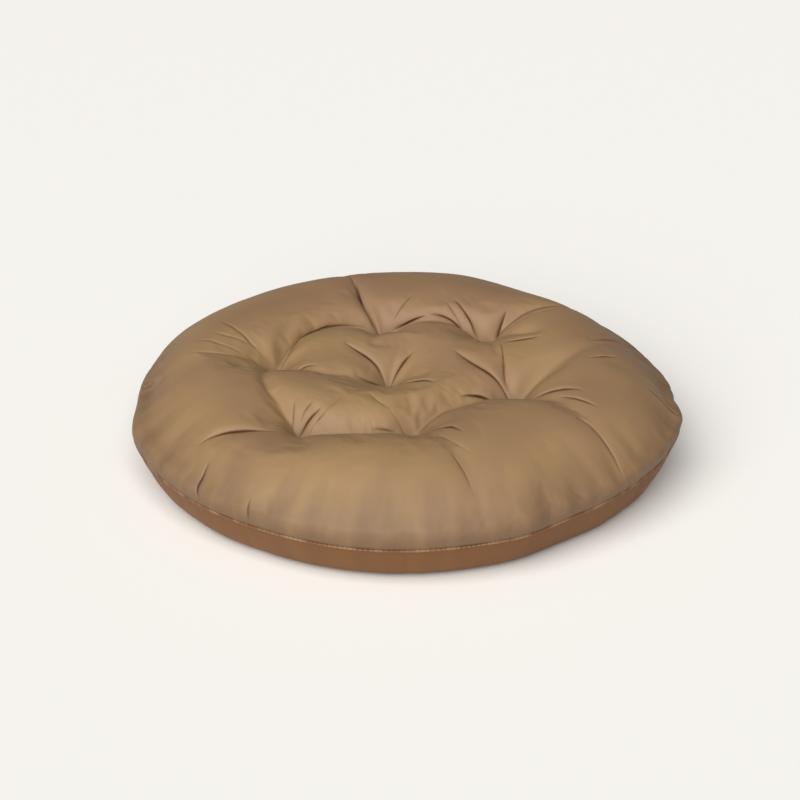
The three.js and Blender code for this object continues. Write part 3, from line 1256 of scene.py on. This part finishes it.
class CUSHION_OT_stitches(bpy.types.Operator):
    """Sew the two covers together round the seam"""

    bl_idname = "cushion.stitches"
    bl_label = "Seam stitches"

    def execute(self, context):
        line = SectionLine(BASE_SECTION)
        angle = TURN * np.arange(STITCHES) / STITCHES
        out = STITCH_OUT + STITCH_SINK * np.sin(rhythm(angle, *SINK_RHYTHM))
        centres = stitch_places(line, angle, out)
        ways = unit(stitch_places(line, angle + SMALL_TURN, out) - centres)
        outs = unit(polar(angle, 1, STITCH_RISE + 0 * angle))
        points, faces = thread_bars(centres, ways, outs, STITCH_LENGTH, THREAD)
        thread = make_piece("seam_stitches", points, faces, thread_material("Sewing thread"))
        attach(thread, "root")
        return {"FINISHED"}


class CUSHION_OT_tacks(bpy.types.Operator):
    """Tie the tufts down with a tack of thread above and below"""

    bl_idname = "cushion.tacks"
    bl_label = "Tufting tacks"

    def execute(self, context):
        places = np.array(list(TUFTS.values()), float)
        above = top_form(SectionLine(TOP_SECTION), *places.T)
        below = np.column_stack([places, dimples_at(places)])
        centres = np.vstack([above, below])
        outs = np.repeat([(0.0, 0.0, 1.0), (0.0, 0.0, -1.0)], len(places), axis=0)
        turn = TACK_TURN * np.arange(len(centres))
        ways = polar(turn, 1, 0 * turn)
        points, faces = thread_bars(centres + TACK_OUT * outs, ways, outs, TACK_LENGTH, TACK_THREAD)
        thread = make_piece("tufting_tacks", points, faces, thread_material("Tufting thread"))
        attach(thread, "root")
        return {"FINISHED"}


class CUSHION_OT_stage(bpy.types.Operator):
    """Make the floor, the soft lights and the camera"""

    bl_idname = "cushion.stage"
    bl_label = "Stage"

    def execute(self, context):
        settings = context.scene.cushion_stage
        self.add_floor(settings)
        self.add_lights(settings)
        self.add_camera()
        context.scene.view_settings.view_transform = "Standard"
        return {"FINISHED"}

    def add_floor(self, settings):
        half = settings.floor_size / 2
        corners = [(-half, -half, 0), (half, -half, 0), (half, half, 0), (-half, half, 0)]
        mesh = bpy.data.meshes.new("floor")
        mesh.from_pydata(corners, [], [(0, 1, 2, 3)])
        mesh.materials.append(floor_material((*settings.floor_colour, 1.0)))
        floor = added("floor", mesh)
        floor.location.z = -FLOOR_GAP

    def add_lights(self, settings):
        world = bpy.data.worlds.new("Studio")
        world.use_nodes = True
        background = world.node_tree.nodes["Background"]
        background.inputs["Color"].default_value = STUDIO_TINT
        background.inputs["Strength"].default_value = settings.fill
        bpy.context.scene.world = world
        light = bpy.data.lights.new("key", "SUN")
        light.angle = settings.key_size
        light.energy = settings.key
        rise, turn = settings.key_elevation, settings.key_azimuth
        side = Vector((math.sin(turn), -math.cos(turn), 0)) * math.cos(rise)
        key = added("key", light)
        key.location = side + Vector((0, 0, math.sin(rise)))
        key.rotation_euler = key.location.to_track_quat("Z", "Y").to_euler()

    def add_camera(self):
        lens = bpy.data.cameras.new("camera")
        lens.lens = CAMERA_LENS
        camera = added("camera", lens)
        camera.location = CAMERA_PLACE
        aim = Vector(CAMERA_AIM) - camera.location
        camera.rotation_euler = aim.to_track_quat("-Z", "Y").to_euler()
        bpy.context.scene.camera = camera


class CUSHION_PT_parts(bpy.types.Panel):
    bl_label = "Round tufted cushion"
    bl_idname = "CUSHION_PT_parts"
    bl_space_type = "VIEW_3D"
    bl_region_type = "UI"
    bl_category = "Cushion"

    def draw(self, context):
        for operator in OPERATORS:
            self.layout.operator(operator.bl_idname)


OPERATORS = (
    CUSHION_OT_top_cover,
    CUSHION_OT_base_cover,
    CUSHION_OT_stitches,
    CUSHION_OT_tacks,
    CUSHION_OT_stage,
)
CLASSES = (CoverSettings, StageSettings, *OPERATORS, CUSHION_PT_parts)


def register():
    for made in CLASSES:
        bpy.utils.register_class(made)
    bpy.types.Scene.cushion_cover = bpy.props.PointerProperty(type=CoverSettings)
    bpy.types.Scene.cushion_stage = bpy.props.PointerProperty(type=StageSettings)


def unregister():
    del bpy.types.Scene.cushion_stage
    del bpy.types.Scene.cushion_cover
    for made in reversed(CLASSES):
        bpy.utils.unregister_class(made)


def main():
    register()
    bpy.ops.cushion.top_cover()
    bpy.ops.cushion.base_cover()
    bpy.ops.cushion.stitches()
    bpy.ops.cushion.tacks()
    bpy.ops.cushion.stage()


if __name__ == "__main__":
    main()
